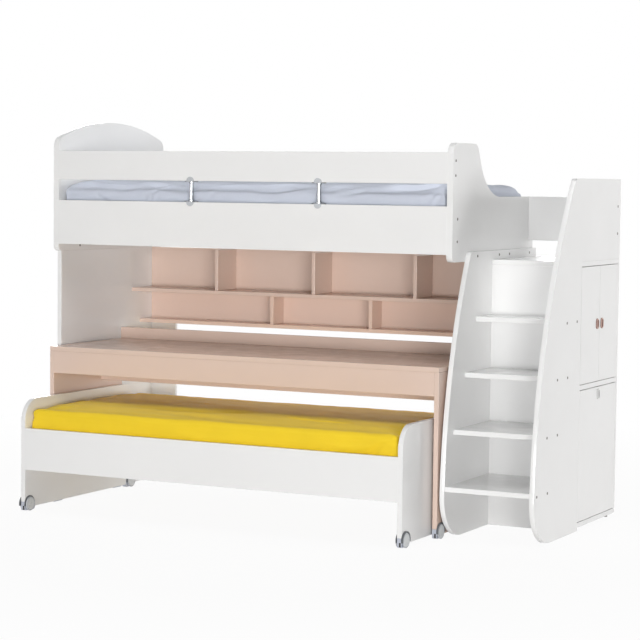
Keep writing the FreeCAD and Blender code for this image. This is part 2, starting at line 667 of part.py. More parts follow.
def cupboard_doors():
    bottom = CUPBOARD_MIDDLE_TOP + DOOR_GAP
    top = landing_bottom - DOOR_GAP
    nodes = {}
    arms = []
    for name, wall, hinge_edge, way in (("front_door", riser_back, DOOR_SIDE + DOOR_GAP, 1),
                                        ("rear_door", rear_board_front, rear_board_front - DOOR_GAP, -1)):
        free_edge = door_meeting - way * DOOR_GAP / 2
        cup_y = hinge_edge + way * HINGE_CUP_INSET
        door = board(door_inner, side_outer, min(hinge_edge, free_edge), max(hinge_edge, free_edge),
                     bottom, top)
        cups = []
        for z in hinge_levels(bottom, top):
            cups.append(hinge_cup(cup_y, z))
            arms.append(hinge_arm(wall, hinge_edge, way, cup_y, z))
            bore_end = door_inner + HINGE_CUP_DEPTH + HINGE_CUP_PLAY
            door = door.cut(rod_x(door_inner, bore_end, cup_y, z, HINGE_CUP_RADIUS + HINGE_CUP_PLAY))
        nodes[name] = door
        nodes[name + "_hinge_cups"] = group(cups)
        nodes[name + "_pull"] = oval_pull(door_meeting - way * DOOR_PULL_INSET, DOOR_PULL_LEVEL)
    nodes["door_hinge_arms"] = group(arms)
    return nodes


def drawer():
    front_z = (cupboard_bottom_top + DOOR_GAP, cupboard_middle_bottom - DOOR_GAP)
    box_y = (DOOR_SIDE + RUNNER_SPACE, rear_board_front - RUNNER_SPACE)
    box_z = (cupboard_bottom_top + DRAWER_LIFT, cupboard_bottom_top + DRAWER_LIFT + DRAWER_HEIGHT)
    box_x = (door_inner - DRAWER_DEPTH, door_inner)
    inner_y = (box_y[0] + DRAWER_BOARD, box_y[1] - DRAWER_BOARD)
    floor_z = box_z[0] + DRAWER_BOTTOM_RECESS
    box = [board(*box_x, box_y[0], inner_y[0], *box_z),
           board(*box_x, inner_y[1], box_y[1], *box_z),
           board(box_x[0], box_x[0] + DRAWER_BOARD, *inner_y, *box_z),
           board(box_x[0] + DRAWER_BOARD, box_x[1], *inner_y, floor_z, floor_z + DRAWER_BOTTOM_BOARD)]
    rail_z = (cupboard_bottom_top + RUNNER_LIFT, cupboard_bottom_top + RUNNER_LIFT + RUNNER_HEIGHT)
    rail_x = (side_inner - RUNNER_LENGTH, side_inner)
    bar_z = (rail_z[0] + RUNNER_SHEET + RUNNER_PLAY, rail_z[1] - RUNNER_SHEET - RUNNER_PLAY)
    channels = [board(*rail_x, riser_back, DOOR_SIDE, *rail_z)]
    bars = []
    for wall, side, way in ((DOOR_SIDE, box_y[0], 1), (rear_board_front, box_y[1], -1)):
        mouth = wall + way * RUNNER_WIDTH
        web = wall + way * RUNNER_SHEET
        bar_back = web + way * RUNNER_PLAY
        channel = board(*rail_x, min(wall, mouth), max(wall, mouth), *rail_z)
        hollow = board(*rail_x, min(web, mouth), max(web, mouth),
                       rail_z[0] + RUNNER_SHEET, rail_z[1] - RUNNER_SHEET)
        channels.append(channel.cut(hollow))
        bars.append(board(*rail_x, min(bar_back, side), max(bar_back, side), *bar_z))
    return {
        "drawer_front": board(door_inner, side_outer, DOOR_SIDE + DOOR_GAP, rear_board_front - DOOR_GAP,
                              *front_z),
        "drawer_box": group(box),
        "drawer_pull": oval_pull(door_meeting, front_z[1] - DRAWER_PULL_DROP),
        "drawer_runners": group(bars),
        "drawer_cabinet_runners": group(channels),
    }


def cap(x0, x1, y, z):
    # A flat cap with enough sides to read as round
    corners = [on_circle((y, z), CAP_RADIUS, 2 * math.pi * i / CAP_SIDES) for i in range(CAP_SIDES)]
    edges = [line(corners[i - 1], corners[i]) for i in range(CAP_SIDES)]
    return slab_x(edges, x0, x1)


def bolt_cover_caps():
    # Round caps over the bolts that hold rails, treads and guard board to the upright boards
    end_places = [(GUARD_CAP_INSET, GUARD_BOTTOM + GUARD_CAP_EDGE),
                  (GUARD_CAP_INSET, GUARD_BOTTOM + GUARD_HEIGHT - GUARD_CAP_EDGE)]
    # At the rear the landing guard board leaves only the rail's own thickness free
    for y in (RAIL_CAP_INSET, bed_depth - RAIL_BOARD / 2):
        end_places += [(y, RAIL_BOTTOM + RAIL_CAP_EDGE), (y, rail_top - RAIL_CAP_EDGE)]
    caps = [cap(-CAP_PROUD, 0.0, y, z) for y, z in end_places]
    caps += [cap(foot_outer, foot_outer + CAP_PROUD, y, z) for y, z in end_places]
    caps += [cap(head_inner, head_inner + CAP_PROUD, y, END_BOTTOM + HEAD_CAP_LIFT)
             for y in (HEAD_CAP_INSET, bed_depth - HEAD_CAP_INSET)]
    step_cap_level = STEP_LEFT_TOP - STEP_CAP_DROP
    step_cap_places = STEP_CAPS_FROM_FRONT + tuple(cabinet_rear - y for y in STEP_CAPS_FROM_REAR)
    caps += [cap(step_inner, step_inner + CAP_PROUD, y, step_cap_level) for y in step_cap_places]
    side_places = []
    for i, setback in enumerate(TREAD_CAP_SETBACKS):
        y = TREAD_FRONTS[i] + setback
        z = TREAD_FIRST_TOP + i * TREAD_RISE - TREAD_CAP_DROP
        side_places += [(y, z), (y + TREAD_CAP_SPACING, z)]
    guard_y = (landing_guard_front + landing_guard_rear) / 2
    side_places += [(guard_y, LANDING_GUARD_BOTTOM + LANDING_CAP_EDGE),
                    (guard_y, LANDING_GUARD_BOTTOM + LANDING_GUARD_HEIGHT - LANDING_CAP_EDGE)]
    caps += [cap(side_outer, side_outer + CAP_PROUD, y, z) for y, z in side_places]
    return {"bolt_cover_caps": group(caps)}


def all_nodes():
    nodes = {}
    for part in (raised_bed, shelf_unit, desk, spare_bed, step_cabinet, cupboard_doors, drawer,
                 bolt_cover_caps):
        nodes.update(part())
    return nodes


def origin_of(nodes):
    # The origin is on the floor, under the middle of the whole object's box
    box = group(list(nodes.values())).BoundBox
    return vector((box.XMin + box.XMax) / 2, (box.YMin + box.YMax) / 2, box.ZMin)


def main():
    os.makedirs("parts", exist_ok=True)
    nodes = all_nodes()
    origin = origin_of(nodes)
    for name, shape in nodes.items():
        shape.translate(origin.negative())
        shape.exportStep("parts/%s.step" % name)
    print("nodes", len(nodes), "origin", origin)


main()
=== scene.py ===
import json
import math

import bmesh
import bpy
import numpy as np
from mathutils import Matrix, Vector


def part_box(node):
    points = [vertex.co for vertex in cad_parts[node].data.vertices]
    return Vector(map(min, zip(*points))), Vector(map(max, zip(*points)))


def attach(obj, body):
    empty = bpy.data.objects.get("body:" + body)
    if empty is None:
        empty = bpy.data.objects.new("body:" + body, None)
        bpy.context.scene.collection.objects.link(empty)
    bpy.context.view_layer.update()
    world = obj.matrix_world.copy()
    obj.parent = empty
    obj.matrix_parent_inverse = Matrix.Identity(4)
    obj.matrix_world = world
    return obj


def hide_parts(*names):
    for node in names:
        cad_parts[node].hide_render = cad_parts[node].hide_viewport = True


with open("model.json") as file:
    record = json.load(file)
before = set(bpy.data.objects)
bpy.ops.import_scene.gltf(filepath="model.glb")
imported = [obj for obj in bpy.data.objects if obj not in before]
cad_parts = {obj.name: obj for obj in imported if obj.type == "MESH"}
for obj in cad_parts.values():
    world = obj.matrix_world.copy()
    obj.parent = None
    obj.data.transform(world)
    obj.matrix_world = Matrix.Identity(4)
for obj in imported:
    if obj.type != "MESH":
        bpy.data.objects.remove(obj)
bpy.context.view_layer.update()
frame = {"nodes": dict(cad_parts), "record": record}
nodes = frame["nodes"]
scene = bpy.context.scene
scene.view_settings.view_transform = "Standard"
print("frame loaded:", len(nodes), "nodes")


# camera, placed from the headboard's outer face, the rail's front face and the floor
shot = {
    "offset": (5.63232, -8.18333, 1.54331), "yaw": 27.1809, "pitch": 3.8764, "roll": 0.6275,
    "lens": 116.344, "sensor": 36, "clipEnd": 200,
}


def placeCamera():
    yaw, pitch, roll = (math.radians(shot[key]) for key in ("yaw", "pitch", "roll"))
    look = Vector((-math.sin(yaw) * math.cos(pitch), math.cos(yaw) * math.cos(pitch), -math.sin(pitch)))
    right = Vector((math.cos(yaw), math.sin(yaw), 0))
    up = right.cross(look)
    turnedRight = right * math.cos(roll) + up * math.sin(roll)
    turnedUp = up * math.cos(roll) - right * math.sin(roll)
    corner = Vector((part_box("headboard")[0].x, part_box("front_side_rail")[0].y, 0))
    data = bpy.data.cameras.new("camera")
    data.sensor_fit = "HORIZONTAL"
    data.sensor_width = shot["sensor"]
    data.lens = shot["lens"]
    data.clip_end = shot["clipEnd"]
    camera = bpy.data.objects.new("camera", data)
    scene.collection.objects.link(camera)
    turn = Matrix((turnedRight, turnedUp, -look)).transposed().to_4x4()
    camera.matrix_world = Matrix.Translation(corner + Vector(shot["offset"])) @ turn
    scene.camera = camera


placeCamera()
print("camera placed")


def addNode(tree, kind, inputs=None, **settings):
    # a shader node with its settings and the values of its inputs
    node = tree.nodes.new(kind)
    for key, value in settings.items():
        setattr(node, key, value)
    for key, value in (inputs or {}).items():
        node.inputs[key].default_value = value
    return node


# soft studio light, aimed at the middle of the bed: a far low key from the right, two low front lamps that
# reach under the raised bed, a high soft box, one behind the step side, one for the left, two for the rear
studio = {
    "lamps": {
        "key": {"place": (11.5, -14.5, 1.5), "size": (6.6, 2.9), "watts": 1140, "colour": (1.0, 0.997, 0.99)},
        "front": {"place": (0.5, -10.0, 1.1), "size": (4.0, 1.7), "watts": 40, "colour": (0.99, 0.995, 1.0)},
        "low": {"place": (1.2, -9.0, 0.5), "size": (4.0, 0.9), "watts": 200, "colour": (1.0, 1.0, 1.0)},
        "top": {"place": (0.3, -1.8, 7.8), "size": (4.6, 4.6), "watts": 165, "colour": (1.0, 1.0, 1.0)},
        "side": {"place": (7.5, 2.6, 1.9), "size": (3.0, 3.0), "watts": 165, "colour": (1.0, 0.998, 0.995)},
        "left": {"place": (-9.0, 0.6, 1.9), "size": (3.2, 2.6), "watts": 215, "colour": (1.0, 1.0, 1.0)},
        "back": {"place": (-0.3, 9.0, 1.9), "size": (4.0, 1.2), "watts": 325, "colour": (1.0, 1.0, 1.0)},
        "rear": {"place": (-6.2, 6.4, 2.6), "size": (3.6, 3.6), "watts": 120, "colour": (0.995, 1.0, 1.0)},
    },
    "aim": (0.2, 0.0, 0.9), "world": 0.05, "white": (1, 1, 1, 1),
}
floorSpec = {
    "half": 14.0, "drop": 0.0005, "paint": (0.95, 0.935, 0.925), "white": 0.94,
    "fadeStart": 1.9, "fadeEnd": 4.2,
}


def addLamp(name):
    spec = studio["lamps"][name]
    data = bpy.data.lights.new(name, "AREA")
    data.shape = "ELLIPSE"
    data.size, data.size_y = spec["size"]
    data.energy = spec["watts"]
    data.color = spec["colour"]
    lamp = bpy.data.objects.new(name, data)
    place = Vector(spec["place"])
    turn = (Vector(studio["aim"]) - place).to_track_quat("-Z", "Y").to_matrix().to_4x4()
    lamp.matrix_world = Matrix.Translation(place) @ turn
    lamp.visible_camera = False
    scene.collection.objects.link(lamp)


def seenDirectly(tree):
    # 1 for rays that look straight at, reflect or pass through to the backdrop
    path = addNode(tree, "ShaderNodeLightPath")
    first = addNode(tree, "ShaderNodeMath", operation="MAXIMUM")
    second = addNode(tree, "ShaderNodeMath", operation="MAXIMUM")
    tree.links.new(path.outputs["Is Camera Ray"], first.inputs[0])
    tree.links.new(path.outputs["Is Glossy Ray"], first.inputs[1])
    tree.links.new(first.outputs[0], second.inputs[0])
    tree.links.new(path.outputs["Is Transmission Ray"], second.inputs[1])
    return second.outputs[0]


def lightWorld():
    # a faint ambient light that is seen as plain white
    world = bpy.data.worlds.new("studio")
    world.use_nodes = True
    scene.world = world
    tree = world.node_tree
    tree.nodes.clear()
    ambient = addNode(tree, "ShaderNodeBackground", {"Color": studio["white"], "Strength": studio["world"]})
    white = addNode(tree, "ShaderNodeBackground", {"Color": studio["white"], "Strength": 1})
    mix = addNode(tree, "ShaderNodeMixShader")
    out = addNode(tree, "ShaderNodeOutputWorld")
    tree.links.new(seenDirectly(tree), mix.inputs[0])
    tree.links.new(ambient.outputs[0], mix.inputs[1])
    tree.links.new(white.outputs[0], mix.inputs[2])
    tree.links.new(mix.outputs[0], out.inputs[0])


def layFloor():
    # a flat square, pale, that keeps a soft shadow near the bed and fades to plain white further out
    half = floorSpec["half"]
    mesh = bpy.data.meshes.new("floor")
    corners = [(-half, -half, 0), (half, -half, 0), (half, half, 0), (-half, half, 0)]
    mesh.from_pydata(corners, [], [(0, 1, 2, 3)])
    floor = bpy.data.objects.new("floor", mesh)
    floor.location.z = -floorSpec["drop"]
    scene.collection.objects.link(floor)
    material = bpy.data.materials.new("paleFloor")
    material.use_nodes = True
    tree = material.node_tree
    tree.nodes.clear()
    paint = addNode(tree, "ShaderNodeBsdfDiffuse", {"Color": (*floorSpec["paint"], 1)})
    glow = addNode(tree, "ShaderNodeEmission", {"Color": studio["white"], "Strength": 1})
    coords = addNode(tree, "ShaderNodeTexCoord")
    reach = addNode(tree, "ShaderNodeVectorMath", operation="LENGTH")
    fade = addNode(tree, "ShaderNodeMapRange", {
        "From Min": floorSpec["fadeStart"], "From Max": floorSpec["fadeEnd"], "To Min": floorSpec["white"]})
    share = addNode(tree, "ShaderNodeMath", operation="MULTIPLY")
    mix = addNode(tree, "ShaderNodeMixShader")
    out = addNode(tree, "ShaderNodeOutputMaterial")
    tree.links.new(coords.outputs["Object"], reach.inputs[0])
    tree.links.new(reach.outputs["Value"], fade.inputs["Value"])
    tree.links.new(seenDirectly(tree), share.inputs[0])
    tree.links.new(fade.outputs[0], share.inputs[1])
    tree.links.new(share.outputs[0], mix.inputs[0])
    tree.links.new(paint.outputs[0], mix.inputs[1])
    tree.links.new(glow.outputs[0], mix.inputs[2])
    tree.links.new(mix.outputs[0], out.inputs[0])
    mesh.materials.append(material)


for lampName in studio["lamps"]:
    addLamp(lampName)
lightWorld()
layFloor()
print("studio lit")


# node groups; noise lies mostly within this span of its range
noiseSpan = {"From Min": 0.3, "From Max": 0.7}


def newGroup(name, inputs, outputs):
    group = bpy.data.node_groups.new(name, "ShaderNodeTree")
    for socketName, kind, value in inputs:
        socket = group.interface.new_socket(socketName, in_out="INPUT", socket_type=kind)
        socket.default_value = value
    for socketName, kind in outputs:
        group.interface.new_socket(socketName, in_out="OUTPUT", socket_type=kind)
    return group, group.nodes.new("NodeGroupInput"), group.nodes.new("NodeGroupOutput")


def mottle(tree, source, coords, scale, amount):
    # the source colour, a little lighter and darker in soft patches
    noise = addNode(tree, "ShaderNodeTexNoise", {"Scale": scale, "Detail": 3, "Roughness": 0.55})
    shift = addNode(tree, "ShaderNodeMapRange", {**noiseSpan, "To Min": -1, "To Max": 1})
    level = addNode(tree, "ShaderNodeMath", {2: 1}, operation="MULTIPLY_ADD")
    tint = addNode(tree, "ShaderNodeMix", {"Factor": 1}, data_type="RGBA", blend_type="MULTIPLY")
    tree.links.new(coords, noise.inputs["Vector"])
    tree.links.new(noise.outputs["Fac"], shift.inputs["Value"])
    tree.links.new(shift.outputs[0], level.inputs[0])
    tree.links.new(amount, level.inputs[1])
    tree.links.new(source, tint.inputs["A"])
    tree.links.new(level.outputs[0], tint.inputs["B"])
    return tint.outputs["Result"]


def makeFacedBoard():
    # melamine-faced board: fine pearl skin, faint cloudiness, satin sheen that varies with handling
    group, ins, outs = newGroup("facedBoard", [
        ("Tint", "NodeSocketColor", (0.8, 0.8, 0.8, 1)), ("Cloud", "NodeSocketFloat", 0.015),
        ("Gloss Low", "NodeSocketFloat", 0.13), ("Gloss High", "NodeSocketFloat", 0.24)],
        [("Color", "NodeSocketColor"), ("Roughness", "NodeSocketFloat"), ("Height", "NodeSocketFloat")])
    coords = addNode(group, "ShaderNodeTexCoord").outputs["Object"]
    colour = mottle(group, ins.outputs["Tint"], coords, 2.3, ins.outputs["Cloud"])
    group.links.new(colour, outs.inputs["Color"])
    smear = addNode(group, "ShaderNodeTexNoise", {"Scale": 7.0, "Detail": 4, "Distortion": 0.6})
    gloss = addNode(group, "ShaderNodeMapRange", noiseSpan)
    group.links.new(coords, smear.inputs["Vector"])
    group.links.new(smear.outputs["Fac"], gloss.inputs["Value"])
    group.links.new(ins.outputs["Gloss Low"], gloss.inputs["To Min"])
    group.links.new(ins.outputs["Gloss High"], gloss.inputs["To Max"])
    group.links.new(gloss.outputs[0], outs.inputs["Roughness"])
    pearl = addNode(group, "ShaderNodeTexNoise", {"Scale": 900.0, "Detail": 2})
    group.links.new(coords, pearl.inputs["Vector"])
    group.links.new(pearl.outputs["Fac"], outs.inputs["Height"])
    return group


def makePlainWeave():
    # warp bands along X crossed with weft bands along Y and Z, with slubs and soft patches of lighter and
    # darker tone
    group, ins, outs = newGroup("plainWeave", [
        ("Tint", "NodeSocketColor", (0.5, 0.5, 0.5, 1)), ("Patch", "NodeSocketFloat", 0.03),
        ("Threads", "NodeSocketFloat", 300.0)],
        [("Color", "NodeSocketColor"), ("Height", "NodeSocketFloat")])
    coords = addNode(group, "ShaderNodeTexCoord").outputs["Object"]
    axes = addNode(group, "ShaderNodeSeparateXYZ")
    across = addNode(group, "ShaderNodeMath", operation="ADD")
    turned = addNode(group, "ShaderNodeCombineXYZ")
    group.links.new(coords, axes.inputs[0])
    group.links.new(axes.outputs["Y"], across.inputs[0])
    group.links.new(axes.outputs["Z"], across.inputs[1])
    group.links.new(across.outputs[0], turned.inputs["X"])
    warp = addNode(group, "ShaderNodeTexWave", {"Distortion": 0.0})
    weft = addNode(group, "ShaderNodeTexWave", {"Distortion": 0.0})
    group.links.new(coords, warp.inputs["Vector"])
    group.links.new(turned.outputs[0], weft.inputs["Vector"])
    group.links.new(ins.outputs["Threads"], warp.inputs["Scale"])
    group.links.new(ins.outputs["Threads"], weft.inputs["Scale"])
    cross = addNode(group, "ShaderNodeMath", operation="MULTIPLY")
    group.links.new(warp.outputs["Fac"], cross.inputs[0])
    group.links.new(weft.outputs["Fac"], cross.inputs[1])
    slub = addNode(group, "ShaderNodeTexNoise", {"Scale": 120.0, "Detail": 2})
    group.links.new(coords, slub.inputs["Vector"])
    height = addNode(group, "ShaderNodeMath", operation="ADD")
    group.links.new(cross.outputs[0], height.inputs[0])
    group.links.new(slub.outputs["Fac"], height.inputs[1])
    group.links.new(height.outputs[0], outs.inputs["Height"])
    colour = mottle(group, ins.outputs["Tint"], coords, 5.0, ins.outputs["Patch"])
    group.links.new(colour, outs.inputs["Color"])
    return group


def makeMouldedSkin():
    # moulded plastic: fine spark-eroded grain and uneven sheen
    group, ins, outs = newGroup("mouldedSkin", [
        ("Tint", "NodeSocketColor", (0.5, 0.5, 0.5, 1)), ("Cloud", "NodeSocketFloat", 0.03)],
        [("Color", "NodeSocketColor"), ("Roughness", "NodeSocketFloat"), ("Height", "NodeSocketFloat")])
    coords = addNode(group, "ShaderNodeTexCoord").outputs["Object"]
    colour = mottle(group, ins.outputs["Tint"], coords, 40.0, ins.outputs["Cloud"])
    group.links.new(colour, outs.inputs["Color"])
    grain = addNode(group, "ShaderNodeTexNoise", {"Scale": 1500.0, "Detail": 2})
    sheen = addNode(group, "ShaderNodeTexNoise", {"Scale": 60.0, "Detail": 3})
    level = addNode(group, "ShaderNodeMapRange", {**noiseSpan, "To Min": 0.32, "To Max": 0.46})
    group.links.new(coords, grain.inputs["Vector"])
    group.links.new(coords, sheen.inputs["Vector"])
    group.links.new(sheen.outputs["Fac"], level.inputs["Value"])
    group.links.new(level.outputs[0], outs.inputs["Roughness"])
    group.links.new(grain.outputs["Fac"], outs.inputs["Height"])
    return group


def makePlatedSkin():
    # plated or drawn metal: faint lines along the length and a slight change of tone
    group, ins, outs = newGroup("platedSkin", [
        ("Tint", "NodeSocketColor", (0.6, 0.6, 0.6, 1)), ("Cloud", "NodeSocketFloat", 0.05),
        ("Dull", "NodeSocketFloat", 0.3), ("Stretch", "NodeSocketVector", (1, 1, 1))],
        [("Color", "NodeSocketColor"), ("Roughness", "NodeSocketFloat")])
    coords = addNode(group, "ShaderNodeTexCoord").outputs["Object"]
    colour = mottle(group, ins.outputs["Tint"], coords, 55.0, ins.outputs["Cloud"])
    group.links.new(colour, outs.inputs["Color"])
    stretch = addNode(group, "ShaderNodeVectorMath", operation="MULTIPLY")
    lines = addNode(group, "ShaderNodeTexNoise", {"Scale": 240.0, "Detail": 2})
    level = addNode(group, "ShaderNodeMath", {1: 0.16}, operation="MULTIPLY_ADD")
    group.links.new(coords, stretch.inputs[0])
    group.links.new(ins.outputs["Stretch"], stretch.inputs[1])
    group.links.new(stretch.outputs[0], lines.inputs["Vector"])
    group.links.new(lines.outputs["Fac"], level.inputs[0])
    group.links.new(ins.outputs["Dull"], level.inputs[2])
    group.links.new(level.outputs[0], outs.inputs["Roughness"])
    return group


def makeSawnGrain():
    # softwood: growth lines drawn out along Y, darker late wood, faint pores
    group, ins, outs = newGroup("sawnGrain", [
        ("Early", "NodeSocketColor", (0.6, 0.45, 0.28, 1)), ("Late", "NodeSocketColor", (0.45, 0.3, 0.16, 1)),
        ("Stretch", "NodeSocketVector", (60, 2, 60))],
        [("Color", "NodeSocketColor"), ("Roughness", "NodeSocketFloat"), ("Height", "NodeSocketFloat")])
    coords = addNode(group, "ShaderNodeTexCoord").outputs["Object"]
    stretch = addNode(group, "ShaderNodeVectorMath", operation="MULTIPLY")
    rings = addNode(group, "ShaderNodeTexNoise", {"Scale": 1.0, "Detail": 5, "Distortion": 0.8})
    blend = addNode(group, "ShaderNodeMix", data_type="RGBA")
    level = addNode(group, "ShaderNodeMapRange", {"To Min": 0.5, "To Max": 0.68})
    group.links.new(coords, stretch.inputs[0])
    group.links.new(ins.outputs["Stretch"], stretch.inputs[1])
    group.links.new(stretch.outputs[0], rings.inputs["Vector"])
    group.links.new(rings.outputs["Fac"], blend.inputs["Factor"])
    group.links.new(ins.outputs["Early"], blend.inputs["A"])
    group.links.new(ins.outputs["Late"], blend.inputs["B"])
    group.links.new(blend.outputs["Result"], outs.inputs["Color"])
    group.links.new(rings.outputs["Fac"], level.inputs["Value"])
    group.links.new(level.outputs[0], outs.inputs["Roughness"])
    group.links.new(rings.outputs["Fac"], outs.inputs["Height"])
    return group


facedBoard = makeFacedBoard()
plainWeave = makePlainWeave()
mouldedSkin = makeMouldedSkin()
platedSkin = makePlatedSkin()
sawnGrain = makeSawnGrain()


# what the finishes of one kind share; bump is (strength, depth in metres)
boardFinish = {"bump": (0.12, 0.0004), "specular": 0.5}
sheetFinish = {"bump": (0.35, 0.0006), "specular": 0.3, "sheenRoughness": 0.4}
plasticFinish = {"bump": (0.15, 0.0002)}
# for pulls, the dish is painted darker as shade up to the split at depth, blending into the rim colour
# between the two offsets
pullFinish = {"bump": (0.12, 0.0002), "depth": 0.003, "shadeEnd": -0.0004, "rimStart": 0.0016}
woodFinish = {"bump": (0.2, 0.0004)}


def startMaterial(name, group, values, bump=None):
    # a principled shader fed by one of the groups
    material = bpy.data.materials.new(name)
    material.use_nodes = True
    tree = material.node_tree
    shader = tree.nodes["Principled BSDF"]
    surface = addNode(tree, "ShaderNodeGroup", values, node_tree=group)
    tree.links.new(surface.outputs["Color"], shader.inputs["Base Color"])
    if "Roughness" in surface.outputs:
        tree.links.new(surface.outputs["Roughness"], shader.inputs["Roughness"])
    if bump:
        relief = addNode(tree, "ShaderNodeBump", {"Strength": bump[0], "Distance": bump[1]})
        tree.links.new(surface.outputs["Height"], relief.inputs["Height"])
        tree.links.new(relief.outputs["Normal"], shader.inputs["Normal"])
    return material, shader, surface


def boardMaterial(name, tint, cloud):
    values = {"Tint": (*tint, 1), "Cloud": cloud}
    material, shader, _ = startMaterial(name, facedBoard, values, boardFinish["bump"])
    shader.inputs["Specular IOR Level"].default_value = boardFinish["specular"]
    return material


def sheetMaterial(name, tint, patch, roughness, sheen):
    values = {"Tint": (*tint, 1), "Patch": patch}
    material, shader, _ = startMaterial(name, plainWeave, values, sheetFinish["bump"])
    shader.inputs["Roughness"].default_value = roughness
    shader.inputs["Specular IOR Level"].default_value = sheetFinish["specular"]
    shader.inputs["Sheen Weight"].default_value = sheen
    shader.inputs["Sheen Roughness"].default_value = sheetFinish["sheenRoughness"]
    return material


def plasticMaterial(name, tint):
    return startMaterial(name, mouldedSkin, {"Tint": (*tint, 1)}, plasticFinish["bump"])[0]


def metalMaterial(name, tint, dull, stretch):
    values = {"Tint": (*tint, 1), "Dull": dull, "Stretch": stretch}
    material, shader, _ = startMaterial(name, platedSkin, values)
    shader.inputs["Metallic"].default_value = 1
    return material


def shadedDishMaterial(name, rim, dishShade):
    # the pull's rim in its own colour and its dish darker with painted shade, split by the distance along X;
    # the foot of the outer walls below the split gets the same painted shadow line
    material, shader, surface = startMaterial(name, mouldedSkin, {"Tint": (*rim, 1)}, pullFinish["bump"])
    tree = material.node_tree
    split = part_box("front_door_pull")[0].x + pullFinish["depth"]
    coords = addNode(tree, "ShaderNodeTexCoord")
    axes = addNode(tree, "ShaderNodeSeparateXYZ")
    edge = addNode(tree, "ShaderNodeMapRange", {
        "From Min": split + pullFinish["shadeEnd"], "From Max": split + pullFinish["rimStart"]})
    blend = addNode(tree, "ShaderNodeMix", {"A": (*dishShade, 1)}, data_type="RGBA")
    tree.links.new(coords.outputs["Object"], axes.inputs[0])
    tree.links.new(axes.outputs["X"], edge.inputs["Value"])
    tree.links.new(edge.outputs[0], blend.inputs["Factor"])
    tree.links.new(surface.outputs["Color"], blend.inputs["B"])
    tree.links.new(blend.outputs["Result"], shader.inputs["Base Color"])
    return material


whiteBoard = boardMaterial("whiteBoard", (0.915, 0.915, 0.912), cloud=0.012)
pinkBoard = boardMaterial("pinkBoard", (0.79, 0.612, 0.522), cloud=0.02)
blueSheet = sheetMaterial("blueSheet", (0.70, 0.74, 0.84), patch=0.03, roughness=0.85, sheen=0.08)
yellowSheet = sheetMaterial("yellowSheet", (0.99, 0.70, 0.026), patch=0.03, roughness=0.7, sheen=0.2)
slatWood = startMaterial("slatWood", sawnGrain, {}, woodFinish["bump"])[0]
brightSteel = metalMaterial("brightSteel", (0.42, 0.43, 0.45), dull=0.06, stretch=(1, 1, 0.05))
brightSteel.node_tree.nodes["Principled BSDF"].inputs["Specular Tint"].default_value = (0.03, 0.035, 0.045, 1)
satinSteel = metalMaterial("satinSteel", (0.46, 0.47, 0.49), dull=0.34, stretch=(0.05, 1, 1))
zincSteel = metalMaterial("zincSteel", (0.66, 0.67, 0.68), dull=0.3, stretch=(0.05, 1, 1))
casterGrey = plasticMaterial("casterGrey", (0.54, 0.57, 0.65))
# dark grey: the fenders' own colour, and painted shade on the bracket pads
fenderGreyAndPadShade = plasticMaterial("fenderGreyAndPadShade", (0.13, 0.14, 0.15))
# near black: painted shade standing for the depth of the caster housing's slot
slotShade = plasticMaterial("slotShade", (0.03, 0.03, 0.032))
wheelGrey = plasticMaterial("wheelGrey", (0.70, 0.72, 0.73))
treadGrey = plasticMaterial("treadGrey", (0.55, 0.57, 0.60))
capDark = plasticMaterial("capDark", (0.16, 0.14, 0.13))
# the second colour of each pull is the painted shade in its dish
pinkPull = shadedDishMaterial("pinkPull", (0.62, 0.44, 0.38), (0.26, 0.14, 0.115))
whitePull = shadedDishMaterial("whitePull", (0.80, 0.80, 0.79), (0.55, 0.55, 0.55))

slotMaterial = {
    "white_board": whiteBoard, "pink_board": pinkBoard, "slat_wood": slatWood, "blue_sheet": blueSheet,
    "yellow_sheet": yellowSheet, "bright_steel": brightSteel, "zinc_steel": zincSteel,
    "grey_plastic": casterGrey, "pale_wheel": wheelGrey, "dark_cap": capDark, "pink_pull": pinkPull,
    "white_pull": whitePull,
}
edgeBand = {
    "widths": {"white_board": 0.0016, "pink_board": 0.002, "slat_wood": 0.002},
    "softWidth": 0.0035, "weld": 0.00002, "segments": 2, "angle": 50,
    "soft": ("headboard", "footboard", "step_left_panel", "step_right_panel", "spare_left_panel",
             "spare_right_panel"),
}


def dressNode(name, slot):
    # finish of a CAD node; boards also get the small round of their edge band
    piece = nodes[name]
    piece.data.materials.clear()
    piece.data.materials.append(slotMaterial[slot])
    width = edgeBand["softWidth"] if name in edgeBand["soft"] else edgeBand["widths"].get(slot)
    if width:
        weld = piece.modifiers.new("weld", "WELD")
        weld.merge_threshold = edgeBand["weld"]
        bevel = piece.modifiers.new("edgeBand", "BEVEL")
        bevel.width = width
        bevel.segments = edgeBand["segments"]
        bevel.limit_method = "ANGLE"
        bevel.angle_limit = math.radians(edgeBand["angle"])
        bevel.use_clamp_overlap = True
        bevel.harden_normals = True


for entry in frame["record"]["subparts"]:
    dressNode(entry["node"], entry["material_slot"])
print("boards, metal and plastic finished")


# new pieces: how near doubled points are merged, and the corner that stays sharp, in degrees
pieceMesh = {"merge": 0.000005, "sharp": 40}


def linkPiece(name, mesh, body):
    piece = bpy.data.objects.new(name, mesh)
    scene.collection.objects.link(piece)
    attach(piece, body)
    return piece


def readPoints(mesh, what="co"):
    data = np.empty(len(mesh.vertices) * 3, np.float32)
    (mesh.vertices if what == "co" else mesh.vertex_normals).foreach_get(what, data)
    return data.reshape(-1, 3).astype(float)


def skin(rows):
    # quads between closed rows of points that follow each other
    count, steps = rows.shape[:2]
    row, step = np.meshgrid(np.arange(count - 1), np.arange(steps), indexing="ij")
    after = (step + 1) % steps
    quads = [row * steps + step, row * steps + after, (row + 1) * steps + after, (row + 1) * steps + step]
    return rows.reshape(-1, 3), np.stack(quads, -1).reshape(-1, 4), row.ravel()


